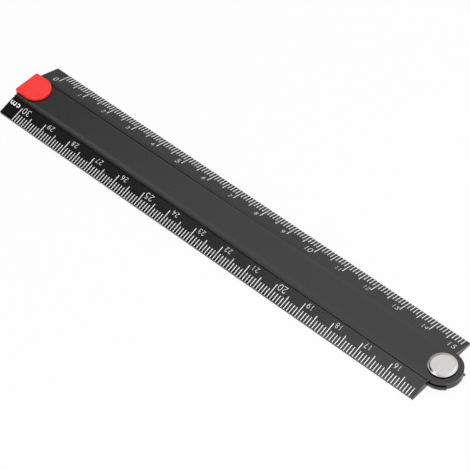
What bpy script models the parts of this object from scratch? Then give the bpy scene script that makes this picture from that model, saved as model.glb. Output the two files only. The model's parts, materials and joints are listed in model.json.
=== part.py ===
"""A folding metal ruler: two bevelled aluminium leaves that swing flat about one rivet.

Run it with blender --background --python part.py, or from Blender's text editor.
Units are metres and +Z is up. The ruler is folded and lies on the plane z = 0, with its length along X.
Every piece is drawn with the rivet's axis as its local Z axis: the leaves reach along -X from there to
their free ends, where the scale starts at zero on the upper leaf and ends at thirty on the lower one.
"""

import math

import bmesh
import bpy
from mathutils import Matrix, Vector

MM = 0.001

# Length of a leaf, from the rivet's axis to its free end; the last centimetre ends just before the axis
MARK_SETBACK = 0.5 * MM
SCALE_LENGTH = 150.0 * MM
END_MARGIN = 5.2 * MM
BUTT_CLEARANCE = 0.12 * MM

# Section of the folded pair, measured from its middle line outwards
BAND_HALF = 4.5 * MM
SHOULDER_WIDTH = 1.35 * MM
SIDE_GAP = 0.2 * MM
FLANGE_WIDTH = 5.75 * MM
KNEE_INSET = 0.65 * MM
EDGE_HEIGHT = 0.75 * MM
SHOULDER_SLOPE = 0.218

# Stack of the two plates, from the table upwards
PLATE_LIFT = 0.3 * MM
LOWER_PLATE = 1.2 * MM
PLATE_GAP = 0.15 * MM
UPPER_PLATE = 1.21 * MM

# Softened corners of the leaves
FLANGE_CROWN_RADIUS = 3.0 * MM
SHOULDER_CROWN_RADIUS = 8.0 * MM
KNEE_RADIUS = 8.0 * MM
SHOULDER_RADIUS = 0.15 * MM
END_CORNER_RADIUS = 0.2 * MM

# Round lugs; the lower one keeps a higher step next to its flange, up to an angle from +X
LUG_SETBACK = 0.23 * MM
LUG_STEP_RISE = 0.33 * MM
LUG_STEP_ANGLE = math.radians(-40.0)

# Engraved graduations, measured from the outer edge inwards
TICK_PITCH = 1.0 * MM
TICK_WIDTH = 0.32 * MM
TICK_DEPTH = 0.1 * MM
SHORT_TICK = 2.4 * MM
MIDDLE_TICK = 3.4 * MM
LONG_TICK = 4.35 * MM

# Rivet, with its tail rolled over in a recess under the lower leaf
SHANK_RADIUS = 1.6 * MM
HEAD_RADIUS = 3.95 * MM
HEAD_RIM = 0.1 * MM
HEAD_BEVEL_WIDTH = 0.6 * MM
HEAD_BEVEL_HEIGHT = 0.22 * MM
TAIL_RADIUS = 2.6 * MM
TAIL_HEIGHT = 0.6 * MM
TAIL_DIMPLE_RADIUS = 0.9 * MM
TAIL_DIMPLE_DEPTH = 0.8 * MM
TAIL_CLEARANCE = 0.2 * MM

# Washers of the swivel
HEAD_WASHER_RADIUS = 3.75 * MM
HEAD_WASHER_THICKNESS = 0.3 * MM
LEAF_WASHER_RADIUS = 3.8 * MM
LEAF_WASHER_POCKET = 0.2 * MM

# Clearances
SEAT_GAP = 0.05 * MM
RUNNING_GAP = 0.08 * MM

# End catch: a lip over the upper leaf, a wall past the leaf ends and a foot under the lower leaf
CATCH_HALF_WIDTH = 4.4 * MM
CATCH_LENGTH = 8.8 * MM
CATCH_WALL = 0.6 * MM
CATCH_END_GAP = 0.25 * MM
LIP_GAP = 0.15 * MM
LIP_THICKNESS = 1.0 * MM
LIP_RIM_RADIUS = 0.3 * MM
CATCH_CORNER_RADIUS = 0.5 * MM
THROAT_RADIUS = 0.12 * MM
FOOT_LENGTH = 4.6 * MM
FOOT_DROP = 0.2 * MM
FOOT_RECESS = 0.45 * MM
FOOT_SIDE_GAP = 0.15 * MM
PEG_RADIUS = 0.9 * MM
PEG_SETBACK = 2.2 * MM
PEG_HEAD_RADIUS = 1.4 * MM
PEG_HEAD_HEIGHT = 0.3 * MM

# Small burr left on the rim of the lower leaf's lug, at an angle from +X towards +Y
BURR_ANGLE = math.radians(28.0)
BURR_REACH = 0.38 * MM
BURR_ROOT_WIDTH = 0.6 * MM
BURR_TIP_WIDTH = 0.3 * MM
BURR_LIFT = 0.1 * MM
BURR_HEIGHT = 0.7 * MM

# Fineness of round forms
ARC_STEP = math.radians(6.0)
SHORTEST_CHORD = 0.05 * MM
TURNED_STEPS = 64

# Worked out from the sizes above
PLATE_HALF = BAND_HALF + SHOULDER_WIDTH
LUG_RADIUS = PLATE_HALF - LUG_SETBACK
FLANGE_INNER = PLATE_HALF + SIDE_GAP
KNEE = FLANGE_INNER + KNEE_INSET
HALF_WIDTH = FLANGE_INNER + FLANGE_WIDTH
LOWER_TOP = PLATE_LIFT + LOWER_PLATE
UPPER_BOTTOM = LOWER_TOP + PLATE_GAP
THICKNESS = UPPER_BOTTOM + UPPER_PLATE
KNEE_HEIGHT = THICKNESS - (KNEE - BAND_HALF) * SHOULDER_SLOPE
FLANGE_SLOPE = (KNEE_HEIGHT - EDGE_HEIGHT) / (HALF_WIDTH - KNEE)
ZERO_MARK = -(MARK_SETBACK + SCALE_LENGTH)
FREE_END = ZERO_MARK - END_MARGIN
CATCH_INNER = FREE_END - CATCH_END_GAP
CATCH_OUTER = CATCH_INNER - CATCH_WALL
HINGE_X = (LUG_RADIUS - CATCH_OUTER) / 2 - LUG_RADIUS

UPPER_SIDE = 1
LOWER_SIDE = -1


def bevel_height(across):
    """Height of the bevelled top at a distance across from the middle line; it gets steeper at the knee."""
    if abs(across) < KNEE:
        return THICKNESS - (abs(across) - BAND_HALF) * SHOULDER_SLOPE
    return EDGE_HEIGHT + (HALF_WIDTH - abs(across)) * FLANGE_SLOPE


def clear_scene():
    for obj in list(bpy.data.objects):
        bpy.data.objects.remove(obj)


def make_material(name, colour, roughness, metallic):
    material = bpy.data.materials.new(name)
    material.use_nodes = True
    shader = material.node_tree.nodes["Principled BSDF"]
    shader.inputs["Base Color"].default_value = (*colour, 1.0)
    shader.inputs["Roughness"].default_value = roughness
    shader.inputs["Metallic"].default_value = metallic
    return material


def filleted(corners):
    """Outline through corners (u, v, radius), with an arc of that radius at each corner that has one."""
    points = []
    count = len(corners)
    for index, (u, v, radius) in enumerate(corners):
        corner = Vector((u, v))
        if radius == 0:
            points.append(corner)
            continue
        before = (Vector(corners[index - 1][:2]) - corner).normalized()
        after = (Vector(corners[(index + 1) % count][:2]) - corner).normalized()
        half_angle = before.angle(after) / 2
        centre = corner + (before + after).normalized() * radius / math.sin(half_angle)
        first = corner + before * radius / math.tan(half_angle) - centre
        last = corner + after * radius / math.tan(half_angle) - centre
        turn = math.atan2(first.x * last.y - first.y * last.x, first.dot(last))
        steps = min(math.ceil(abs(turn) / ARC_STEP), round(abs(turn) * radius / SHORTEST_CHORD))
        steps = max(2, steps)
        for step in range(steps + 1):
            angle = turn * step / steps
            cosine, sine = math.cos(angle), math.sin(angle)
            spoke = Vector((first.x * cosine - first.y * sine, first.x * sine + first.y * cosine))
            points.append(centre + spoke)
    return points


def finished_mesh(name, shape):
    bmesh.ops.remove_doubles(shape, verts=shape.verts, dist=0.0001 * MM)
    bmesh.ops.recalc_face_normals(shape, faces=shape.faces)
    mesh = bpy.data.meshes.new(name)
    shape.to_mesh(mesh)
    shape.free()
    mesh.shade_smooth()
    mesh.set_sharp_from_angle(angle=math.radians(25.0))
    return mesh


def add_swept_outline(shape, points, sweep):
    """Adds the closed solid that the outline's points make when they are swept along a vector."""
    start = [shape.verts.new(point) for point in points]
    face = shape.faces.new(start)
    swept = bmesh.ops.extrude_face_region(shape, geom=[face])
    moved = [item for item in swept["geom"] if isinstance(item, bmesh.types.BMVert)]
    bmesh.ops.translate(shape, verts=moved, vec=sweep)


def upright_prism(name, outline, low, high):
    """A solid with an outline in X and Y, standing from low to high."""
    shape = bmesh.new()
    points = [(u, v, low) for u, v in outline]
    add_swept_outline(shape, points, (0, 0, high - low))
    return finished_mesh(name, shape)


def lengthwise_prism(name, section, start, end):
    """A solid with a section in Y and Z, running along X from start to end."""
    shape = bmesh.new()
    points = [(start, u, v) for u, v in section]
    add_swept_outline(shape, points, (end - start, 0, 0))
    return finished_mesh(name, shape)


def turned_solid(name, profile):
    """A solid of revolution about Z. Its profile (radius, height) is a closed loop, or ends on the axis."""
    shape = bmesh.new()
    verts = [shape.verts.new((radius, 0, height)) for radius, height in profile]
    closes = profile[0][0] > 0 and profile[-1][0] > 0
    pairs = list(zip(verts, verts[1:]))
    if closes:
        pairs.append((verts[-1], verts[0]))
    edges = [shape.edges.new(pair) for pair in pairs]
    bmesh.ops.spin(
        shape,
        geom=verts + edges,
        cent=(0, 0, 0),
        axis=(0, 0, 1),
        angle=2 * math.pi,
        steps=TURNED_STEPS,
        use_merge=True,
    )
    return finished_mesh(name, shape)


def add_piece(name, mesh, material, parent, location=(0, 0, 0)):
    piece = bpy.data.objects.new(name, mesh)
    mesh.materials.append(material)
    bpy.context.scene.collection.objects.link(piece)
    piece.parent = parent
    piece.location = location
    return piece


def add_tool(name, mesh, target, operation, location=(0, 0, 0)):
    """A hidden shape that a Boolean takes from, joins to or intersects with its target."""
    tool = bpy.data.objects.new(name, mesh)
    bpy.context.scene.collection.objects.link(tool)
    tool.parent = target.parent
    tool.location = location
    tool.hide_render = True
    tool.display_type = "WIRE"
    modifier = target.modifiers.new(name, "BOOLEAN")
    modifier.operation = operation
    modifier.object = tool
    modifier.solver = "EXACT"


def disc(radius, low, high):
    """Turned profile of a plain disc."""
    return [(0, high), (radius, high), (radius, low), (0, low)]


def upper_section():
    """The upper leaf's section: a full-height flange at +Y that carries the upper plate."""
    return filleted([
        (HALF_WIDTH, 0, 0),
        (HALF_WIDTH, EDGE_HEIGHT, 0),
        (KNEE, KNEE_HEIGHT, KNEE_RADIUS),
        (BAND_HALF, THICKNESS, FLANGE_CROWN_RADIUS),
        (-BAND_HALF, THICKNESS, SHOULDER_CROWN_RADIUS),
        (-PLATE_HALF, bevel_height(PLATE_HALF), SHOULDER_RADIUS),
        (-PLATE_HALF, UPPER_BOTTOM, 0),
        (FLANGE_INNER, UPPER_BOTTOM, 0),
        (FLANGE_INNER, 0, 0),
    ])


def lower_section():
    """The lower leaf's section: a full-height flange at -Y that carries the lower plate."""
    return filleted([
        (-HALF_WIDTH, 0, 0),
        (-FLANGE_INNER, 0, 0),
        (-FLANGE_INNER, PLATE_LIFT, 0),
        (PLATE_HALF, PLATE_LIFT, 0),
        (PLATE_HALF, LOWER_TOP, 0),
        (-FLANGE_INNER, LOWER_TOP, 0),
        (-FLANGE_INNER, bevel_height(FLANGE_INNER), SHOULDER_RADIUS),
        (-KNEE, KNEE_HEIGHT, KNEE_RADIUS),
        (-HALF_WIDTH, EDGE_HEIGHT, 0),
    ])


def arc_corners(radius, start, end):
    """Corners along an arc about the rivet's axis, from one angle to another."""
    steps = math.ceil(abs(end - start) / ARC_STEP)
    angles = [start + (end - start) * step / steps for step in range(steps + 1)]
    return [(radius * math.cos(angle), radius * math.sin(angle), 0) for angle in angles]


def leaf_outline(side, lug):
    """A leaf seen from above: flange on one side, plate on the other, and its lug's corners between."""
    return filleted([
        (FREE_END, side * HALF_WIDTH, END_CORNER_RADIUS),
        (-BUTT_CLEARANCE, side * HALF_WIDTH, 0),
        (-BUTT_CLEARANCE, lug[0][1], 0),
        *lug,
        (-LUG_SETBACK, -side * PLATE_HALF, 0),
        (FREE_END, -side * PLATE_HALF, END_CORNER_RADIUS),
    ])


def tick_length(index):
    if index % 10 == 0:
        return LONG_TICK
    if index % 5 == 0:
        return MIDDLE_TICK
    return SHORT_TICK


def graduation_grooves(name, side):
    """One groove per millimetre, sunk at an even depth into the bevel and open at the outer edge."""
    shape = bmesh.new()
    outer = HALF_WIDTH + SIDE_GAP
    for index in range(round(SCALE_LENGTH / TICK_PITCH)):
        inner = HALF_WIDTH - tick_length(index)
        start = ZERO_MARK + index * TICK_PITCH - TICK_WIDTH / 2
        points = [
            (start, side * outer, bevel_height(outer) - TICK_DEPTH),
            (start, side * inner, bevel_height(inner) - TICK_DEPTH),
            (start, side * inner, bevel_height(inner) + TICK_DEPTH),
            (start, side * outer, bevel_height(outer) + TICK_DEPTH),
        ]
        add_swept_outline(shape, points, (TICK_WIDTH, 0, 0))
    return finished_mesh(name, shape)


def make_upper_leaf(material, swivel):
    leaf = add_piece(
        "upper_leaf",
        lengthwise_prism("upper_leaf", upper_section(), FREE_END - END_MARGIN, HALF_WIDTH),
        material,
        swivel,
    )
    lug = arc_corners(LUG_RADIUS, math.pi / 2, -math.pi / 2)
    outline = leaf_outline(UPPER_SIDE, lug)
    outline = upright_prism("upper_leaf_outline", outline, -THICKNESS, 2 * THICKNESS)
    add_tool("upper_leaf_outline", outline, leaf, "INTERSECT")
    bore = turned_solid("upper_leaf_bore", disc(SHANK_RADIUS + RUNNING_GAP, -THICKNESS, 2 * THICKNESS))
    add_tool("upper_leaf_bore", bore, leaf, "DIFFERENCE")
    grooves = graduation_grooves("upper_leaf_grooves", UPPER_SIDE)
    add_tool("upper_leaf_grooves", grooves, leaf, "DIFFERENCE")


def make_lower_leaf(material, axis):
    leaf = add_piece(
        "lower_leaf",
        lengthwise_prism("lower_leaf", lower_section(), FREE_END - END_MARGIN, HALF_WIDTH),
        material,
        axis,
    )
    lug = arc_corners(LUG_RADIUS + LUG_STEP_RISE, -math.pi / 2, LUG_STEP_ANGLE)
    lug += arc_corners(LUG_RADIUS, LUG_STEP_ANGLE, math.pi / 2)
    outline = leaf_outline(LOWER_SIDE, lug)
    outline = upright_prism("lower_leaf_outline", outline, -THICKNESS, 2 * THICKNESS)
    add_tool("lower_leaf_outline", outline, leaf, "INTERSECT")
    bore = turned_solid("lower_leaf_bore", disc(SHANK_RADIUS + SEAT_GAP, -THICKNESS, 2 * THICKNESS))
    add_tool("lower_leaf_bore", bore, leaf, "DIFFERENCE")
    recess = disc(TAIL_RADIUS + TAIL_CLEARANCE, -PLATE_LIFT, PLATE_LIFT + TAIL_HEIGHT)
    add_tool("tail_recess", turned_solid("tail_recess", recess), leaf, "DIFFERENCE")
    pocket = disc(LEAF_WASHER_RADIUS + RUNNING_GAP, LOWER_TOP - LEAF_WASHER_POCKET, THICKNESS)
    add_tool("washer_pocket", turned_solid("washer_pocket", pocket), leaf, "DIFFERENCE")
    make_foot_recess(leaf)
    add_tool("lug_burr", burr(), leaf, "UNION")
    grooves = graduation_grooves("lower_leaf_grooves", LOWER_SIDE)
    add_tool("lower_leaf_grooves", grooves, leaf, "DIFFERENCE")


def burr():
    """A blunt wedge that stands out from the lug's rim."""
    root = LUG_RADIUS - BURR_REACH
    tip = LUG_RADIUS + BURR_REACH
    corners = [
        (root, -BURR_ROOT_WIDTH / 2),
        (tip, -BURR_TIP_WIDTH / 2),
        (tip, BURR_TIP_WIDTH / 2),
        (root, BURR_ROOT_WIDTH / 2),
    ]
    turn = Matrix.Rotation(BURR_ANGLE, 2)
    outline = [turn @ Vector(corner) for corner in corners]
    low = PLATE_LIFT + BURR_LIFT
    return upright_prism("lug_burr", outline, low, low + BURR_HEIGHT)


def make_foot_recess(leaf):
    """The rebate for the catch's foot, and the stepped hole that its peg is staked in."""
    half_width = CATCH_HALF_WIDTH + FOOT_SIDE_GAP
    end = CATCH_INNER + FOOT_LENGTH + FOOT_SIDE_GAP
    outline = [(CATCH_OUTER, -half_width), (end, -half_width), (end, half_width), (CATCH_OUTER, half_width)]
    rebate = upright_prism("foot_rebate", outline, -PLATE_LIFT, PLATE_LIFT + FOOT_RECESS)
    add_tool("foot_rebate", rebate, leaf, "DIFFERENCE")
    seat = LOWER_TOP - PEG_HEAD_HEIGHT - 2 * SEAT_GAP
    hole = [
        (0, THICKNESS),
        (PEG_HEAD_RADIUS + SEAT_GAP, THICKNESS),
        (PEG_HEAD_RADIUS + SEAT_GAP, seat),
        (PEG_RADIUS + SEAT_GAP, seat),
        (PEG_RADIUS + SEAT_GAP, -PLATE_LIFT),
        (0, -PLATE_LIFT),
    ]
    place = (CATCH_INNER + PEG_SETBACK, 0, 0)
    add_tool("peg_hole", turned_solid("peg_hole", hole), leaf, "DIFFERENCE", place)


def make_rivet(material, axis):
    """One turned piece: bevelled head, shank, and a hollow tail rolled out under the lower leaf."""
    head_bottom = THICKNESS + 2 * SEAT_GAP + HEAD_WASHER_THICKNESS
    rim_top = head_bottom + HEAD_RIM
    tail_top = PLATE_LIFT + TAIL_HEIGHT - SEAT_GAP
    tail_bottom = PLATE_LIFT / 2
    profile = [
        (0, rim_top + HEAD_BEVEL_HEIGHT),
        (HEAD_RADIUS - HEAD_BEVEL_WIDTH, rim_top + HEAD_BEVEL_HEIGHT),
        (HEAD_RADIUS, rim_top),
        (HEAD_RADIUS, head_bottom),
        (SHANK_RADIUS, head_bottom),
        (SHANK_RADIUS, tail_top),
        (TAIL_RADIUS, tail_top),
        (TAIL_RADIUS, (tail_top + tail_bottom) / 2),
        ((TAIL_RADIUS + SHANK_RADIUS) / 2, tail_bottom),
        (TAIL_DIMPLE_RADIUS, (tail_top + tail_bottom) / 2),
        (TAIL_DIMPLE_RADIUS, tail_bottom + TAIL_DIMPLE_DEPTH),
        (0, tail_bottom + TAIL_DIMPLE_DEPTH),
    ]
    add_piece("pivot_rivet", turned_solid("pivot_rivet", profile), material, axis)


def washer(radius, low, high):
    """Turned profile of a flat washer that turns freely on the shank."""
    hole = SHANK_RADIUS + RUNNING_GAP
    return [(hole, high), (radius, high), (radius, low), (hole, low)]


def make_washers(material, axis, swivel):
    head = washer(
        HEAD_WASHER_RADIUS,
        THICKNESS + SEAT_GAP,
        THICKNESS + SEAT_GAP + HEAD_WASHER_THICKNESS,
    )
    add_piece("head_washer", turned_solid("head_washer", head), material, swivel)
    between = washer(
        LEAF_WASHER_RADIUS,
        LOWER_TOP - LEAF_WASHER_POCKET + SEAT_GAP,
        UPPER_BOTTOM - SEAT_GAP,
    )
    add_piece("leaf_washer", turned_solid("leaf_washer", between), material, axis)


def catch_outline():
    """The catch seen from above: straight across the leaf end and half round towards the scale."""
    reach = CATCH_OUTER + CATCH_LENGTH
    return filleted([
        (CATCH_OUTER, -CATCH_HALF_WIDTH, CATCH_CORNER_RADIUS),
        (reach, -CATCH_HALF_WIDTH, CATCH_HALF_WIDTH),
        (reach, CATCH_HALF_WIDTH, CATCH_HALF_WIDTH),
        (CATCH_OUTER, CATCH_HALF_WIDTH, CATCH_CORNER_RADIUS),
    ])


def rounded_catch_block(low, high):
    """The catch's full outline as a block, with its upper rim rounded."""
    shape = bmesh.new()
    add_swept_outline(shape, [(u, v, low) for u, v in catch_outline()], (0, 0, high - low))
    bmesh.ops.remove_doubles(shape, verts=shape.verts, dist=0.0001 * MM)
    rim = [edge for edge in shape.edges if all(vert.co.z > (low + high) / 2 for vert in edge.verts)]
    bmesh.ops.bevel(
        shape,
        geom=rim,
        offset=LIP_RIM_RADIUS,
        offset_type="OFFSET",
        segments=4,
        profile=0.5,
        affect="EDGES",
    )
    return finished_mesh("end_catch", shape)


def throat_section(foot_bottom, foot_top, lip_bottom):
    """What the block loses, in X and Z: the throat that takes the leaves, and all beyond the foot's end."""
    beyond = CATCH_OUTER + 2 * CATCH_LENGTH
    foot_end = CATCH_INNER + FOOT_LENGTH
    return filleted([
        (foot_end, foot_bottom - PLATE_LIFT, 0),
        (foot_end, foot_top, 0),
        (CATCH_INNER, foot_top, THROAT_RADIUS),
        (CATCH_INNER, lip_bottom, THROAT_RADIUS),
        (beyond, lip_bottom, 0),
        (beyond, foot_bottom - PLATE_LIFT, 0),
    ])


def make_catch(material, axis):
    """A moulded hook: a block with its throat cut out, and a peg joined on to its foot."""
    lip_bottom = THICKNESS + LIP_GAP
    lip_top = lip_bottom + LIP_THICKNESS
    foot_bottom = PLATE_LIFT - FOOT_DROP
    foot_top = PLATE_LIFT + FOOT_RECESS - SEAT_GAP
    catch = add_piece("end_catch", rounded_catch_block(foot_bottom, lip_top), material, axis)
    shape = bmesh.new()
    section = throat_section(foot_bottom, foot_top, lip_bottom)
    points = [(u, -2 * CATCH_HALF_WIDTH, v) for u, v in section]
    add_swept_outline(shape, points, (0, 4 * CATCH_HALF_WIDTH, 0))
    add_tool("catch_throat", finished_mesh("catch_throat", shape), catch, "DIFFERENCE")
    head_top = LOWER_TOP - SEAT_GAP
    root = (foot_bottom + foot_top) / 2
    peg = [
        (0, head_top),
        (PEG_HEAD_RADIUS, head_top),
        (PEG_HEAD_RADIUS, head_top - PEG_HEAD_HEIGHT),
        (PEG_RADIUS, head_top - PEG_HEAD_HEIGHT),
        (PEG_RADIUS, root),
        (0, root),
    ]
    place = (CATCH_INNER + PEG_SETBACK, 0, 0)
    add_tool("catch_peg", turned_solid("catch_peg", peg), catch, "UNION", place)


def main():
    clear_scene()
    axis = bpy.data.objects.new("rivet_axis", None)
    swivel = bpy.data.objects.new("upper_leaf_swivel", None)
    for empty in (axis, swivel):
        bpy.context.scene.collection.objects.link(empty)
    axis.location = (HINGE_X, 0, 0)
    swivel.parent = axis

    black_anodised = make_material("black_anodised", (0.045, 0.045, 0.044), 0.42, 0.6)
    polished_steel = make_material("polished_steel", (0.70, 0.69, 0.67), 0.22, 1.0)
    black_nylon = make_material("black_nylon", (0.012, 0.012, 0.012), 0.5, 0.0)
    red_plastic = make_material("red_plastic", (0.93, 0.07, 0.06), 0.38, 0.0)

    make_lower_leaf(black_anodised, axis)
    make_upper_leaf(black_anodised, swivel)
    make_rivet(polished_steel, axis)
    make_washers(black_nylon, axis, swivel)
    make_catch(red_plastic, axis)


main()
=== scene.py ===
"""Looks of a folding metal ruler: fine meshes, printed scale, finishes and a plain studio.

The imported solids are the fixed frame. Every piece here is built about the rivet's axis, as the
solids are, and rides on the arm that carries it. Lengths are metres; the finishes read the
surface in millimetres. Vertices closer than WELD are one, and a helper solid runs CUT_PAST
beyond the face that it cuts.
"""

from __future__ import annotations

import json
import logging
import math
from dataclasses import dataclass, field
from enum import Enum
from typing import Iterable, Sequence

import bmesh
import bpy
from mathutils import Matrix, Vector


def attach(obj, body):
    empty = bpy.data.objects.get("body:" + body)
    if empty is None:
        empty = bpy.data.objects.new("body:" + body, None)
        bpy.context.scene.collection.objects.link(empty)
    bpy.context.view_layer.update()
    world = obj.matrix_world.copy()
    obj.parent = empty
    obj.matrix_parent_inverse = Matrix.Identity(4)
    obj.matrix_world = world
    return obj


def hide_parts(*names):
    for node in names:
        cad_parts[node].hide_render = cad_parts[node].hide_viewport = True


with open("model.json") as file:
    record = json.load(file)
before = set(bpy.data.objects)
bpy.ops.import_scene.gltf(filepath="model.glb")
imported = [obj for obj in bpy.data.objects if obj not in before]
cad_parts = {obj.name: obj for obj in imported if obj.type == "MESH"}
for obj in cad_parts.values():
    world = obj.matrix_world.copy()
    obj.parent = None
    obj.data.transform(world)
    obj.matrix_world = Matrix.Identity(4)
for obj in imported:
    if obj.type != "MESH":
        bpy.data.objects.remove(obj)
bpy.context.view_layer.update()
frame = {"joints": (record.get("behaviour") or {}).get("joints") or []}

MM = 0.001
CENTIMETRE = 10 * MM
WELD = 0.0001 * MM
CUT_PAST = 1.0 * MM
LOG = logging.getLogger("folding_ruler")

Number = int | float
Point2 = tuple[float, float]
Corner = tuple[float, float, float]
Colour = tuple[float, float, float]


class Arm(Enum):
    """The two bodies that swing about the rivet."""

    UPPER = "upper_arm"
    LOWER = "lower_arm"


class Side(Enum):
    """Which side of the middle line a leaf's flange is on."""

    UPPER = 1
    LOWER = -1

    @property
    def label(self) -> str:
        """The side's name, as the pieces on it have it."""
        return self.name.lower()

    @property
    def arm(self) -> Arm:
        """The arm that has its flange on this side."""
        return Arm[self.name]


class Cut(Enum):
    """What a helper solid does to the piece it works on."""

    TAKE_AWAY = "DIFFERENCE"
    KEEP_COMMON = "INTERSECT"
    JOIN = "UNION"


class Value:
    """A number that varies over a surface, with arithmetic that adds Math nodes."""

    def __init__(self, nodes: NodeBench, socket: bpy.types.NodeSocket) -> None:
        """Wraps an output socket.

        Args:
            nodes: The bench that owns the socket's node.
            socket: The output that carries the number.
        """
        self.nodes = nodes
        self.socket = socket

    def _math(self, operation: str, first: Value | Number, second: Value | Number) -> Value:
        """Adds one Math node.

        Args:
            operation: The node's operation.
            first: Its upper operand.
            second: Its lower operand.

        Returns:
            The node's result.
        """
        node = self.nodes.add("ShaderNodeMath", {"operation": operation}, {0: first, 1: second})
        return Value(self.nodes, node.outputs[0])

    def __add__(self, other: Value | Number) -> Value:
        """Sum."""
        return self._math("ADD", self, other)

    def __radd__(self, other: Number) -> Value:
        """Sum with a number in front."""
        return self._math("ADD", other, self)

    def __sub__(self, other: Value | Number) -> Value:
        """Difference."""
        return self._math("SUBTRACT", self, other)

    def __rsub__(self, other: Number) -> Value:
        """Difference from a number."""
        return self._math("SUBTRACT", other, self)

    def __mul__(self, other: Value | Number) -> Value:
        """Product."""
        return self._math("MULTIPLY", self, other)

    def __rmul__(self, other: Number) -> Value:
        """Product with a number in front."""
        return self._math("MULTIPLY", other, self)

    def __pow__(self, power: Number) -> Value:
        """Power."""
        return self._math("POWER", self, power)

    def __abs__(self) -> Value:
        """Size without sign."""
        return self._math("ABSOLUTE", self, 0.0)

    def smaller(self, other: Value | Number) -> Value:
        """The smaller of two values."""
        return self._math("MINIMUM", self, other)

    def ramp(self, low: Number, high: Number) -> Value:
        """Smooth step from 0 at low to 1 at high; the other way round where low is the larger.

        Args:
            low: Where the result is 0.
            high: Where the result is 1.

        Returns:
            The stepped value.
        """
        node = self.nodes.add(
            "ShaderNodeMapRange",
            {"interpolation_type": "SMOOTHSTEP", "clamp": True},
            {"Value": self, "From Min": low, "From Max": high, "To Min": 0.0, "To Max": 1.0},
        )
        return Value(self.nodes, node.outputs["Result"])


Feed = Value | Number | Sequence[float] | bpy.types.NodeSocket


class NodeBench:
    """Adds the nodes of one material or of the world."""

    def __init__(self, tree: bpy.types.NodeTree) -> None:
        """Starts with an empty tree.

        Args:
            tree: The node tree to fill.
        """
        self.tree = tree
        tree.nodes.clear()

    def add(
        self,
        kind: str,
        settings: dict[str, object] | None = None,
        inputs: dict[str | int, Feed] | None = None,
    ) -> bpy.types.Node:
        """Adds a node, sets it up, then gives its sockets their values or links.

        Args:
            kind: The node's Blender type.
            settings: Its settings.
            inputs: Values or links by socket name or number.

        Returns:
            The new node.
        """
        node = self.tree.nodes.new(kind)
        for name, setting in (settings or {}).items():
            setattr(node, name, setting)
        for key, feed in (inputs or {}).items():
            self._feed(node.inputs[key], feed)
        return node

    def _feed(self, socket: bpy.types.NodeSocket, feed: Feed) -> None:
        """Links a socket, or sets its value.

        Args:
            socket: The input.
            feed: A value, another node's output, a number, or a colour or vector.
        """
        if isinstance(feed, Value):
            self.tree.links.new(feed.socket, socket)
        elif isinstance(feed, bpy.types.NodeSocket):
            self.tree.links.new(feed, socket)
        elif isinstance(feed, (int, float)):
            socket.default_value = feed
        else:
            numbers = tuple(feed)
            socket.default_value = (*numbers, 1.0) if socket.type == "RGBA" else numbers

    def value(self, node: bpy.types.Node, output: str | int = 0) -> Value:
        """One of a node's outputs, as a value."""
        return Value(self, node.outputs[output])

    def surface_mm(self) -> bpy.types.NodeSocket:
        """The piece's own coordinates in millimetres.

        Returns:
            The coordinates, as a vector.
        """
        place = self.add("ShaderNodeTexCoord")
        scaled = self.add(
            "ShaderNodeVectorMath",
            {"operation": "SCALE"},
            {"Vector": place.outputs["Object"], "Scale": 1 / MM},
        )
        return scaled.outputs["Vector"]

    def axes(self, vector: bpy.types.NodeSocket) -> tuple[Value, Value, Value]:
        """A vector's three parts."""
        parts = self.add("ShaderNodeSeparateXYZ", None, {"Vector": vector})
        return self.value(parts, "X"), self.value(parts, "Y"), self.value(parts, "Z")

    def stretched(
        self, vector: bpy.types.NodeSocket, scale: Sequence[float]
    ) -> bpy.types.NodeSocket:
        """A vector with each axis scaled by itself.

        Args:
            vector: The vector.
            scale: One factor per axis.

        Returns:
            The scaled vector.
        """
        node = self.add(
            "ShaderNodeVectorMath", {"operation": "MULTIPLY"}, {0: vector, 1: tuple(scale)}
        )
        return node.outputs["Vector"]

    def along(self, vector: bpy.types.NodeSocket, direction: Sequence[float]) -> Value:
        """How far a vector points in a direction.

        Args:
            vector: The vector.
            direction: The direction, of any length.

        Returns:
            The share, from -1 to 1 for a unit vector.
        """
        node = self.add(
            "ShaderNodeVectorMath",
            {"operation": "DOT_PRODUCT"},
            {0: vector, 1: tuple(Vector(direction).normalized())},
        )
        return self.value(node, "Value")

    def blend(self, share: Value, first: Colour, second: Colour) -> bpy.types.NodeSocket:
        """Mixes two colours.

        Args:
            share: 0 for the first colour, 1 for the second.
            first: One colour.
            second: The other colour.

        Returns:
            The mixed colour.
        """
        node = self.add(
            "ShaderNodeMix",
            {"data_type": "RGBA", "clamp_factor": True},
            {0: share, 6: first, 7: second},
        )
        return node.outputs[2]

    def bump(
        self, height: Value, depth: float, under: bpy.types.NodeSocket | None = None
    ) -> bpy.types.NodeSocket:
        """Surface relief.

        Args:
            height: Relief from 0 to 1.
            depth: How deep 0 lies under 1, in metres.
            under: The bent normal of a relief that this one lies on.

        Returns:
            The bent normal.
        """
        sockets: dict[str | int, Feed] = {"Height": height, "Distance": depth, "Strength": 1.0}
        if under is not None:
            sockets["Normal"] = under
        return self.add("ShaderNodeBump", None, sockets).outputs["Normal"]

    def finish(self, sockets: dict[str | int, Feed]) -> None:
        """Adds the surface shader and wires it to the output.

        Args:
            sockets: What the shader's sockets take.
        """
        shader = self.add("ShaderNodeBsdfPrincipled", None, sockets)
        self.add("ShaderNodeOutputMaterial", None, {"Surface": shader.outputs["BSDF"]})


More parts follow.
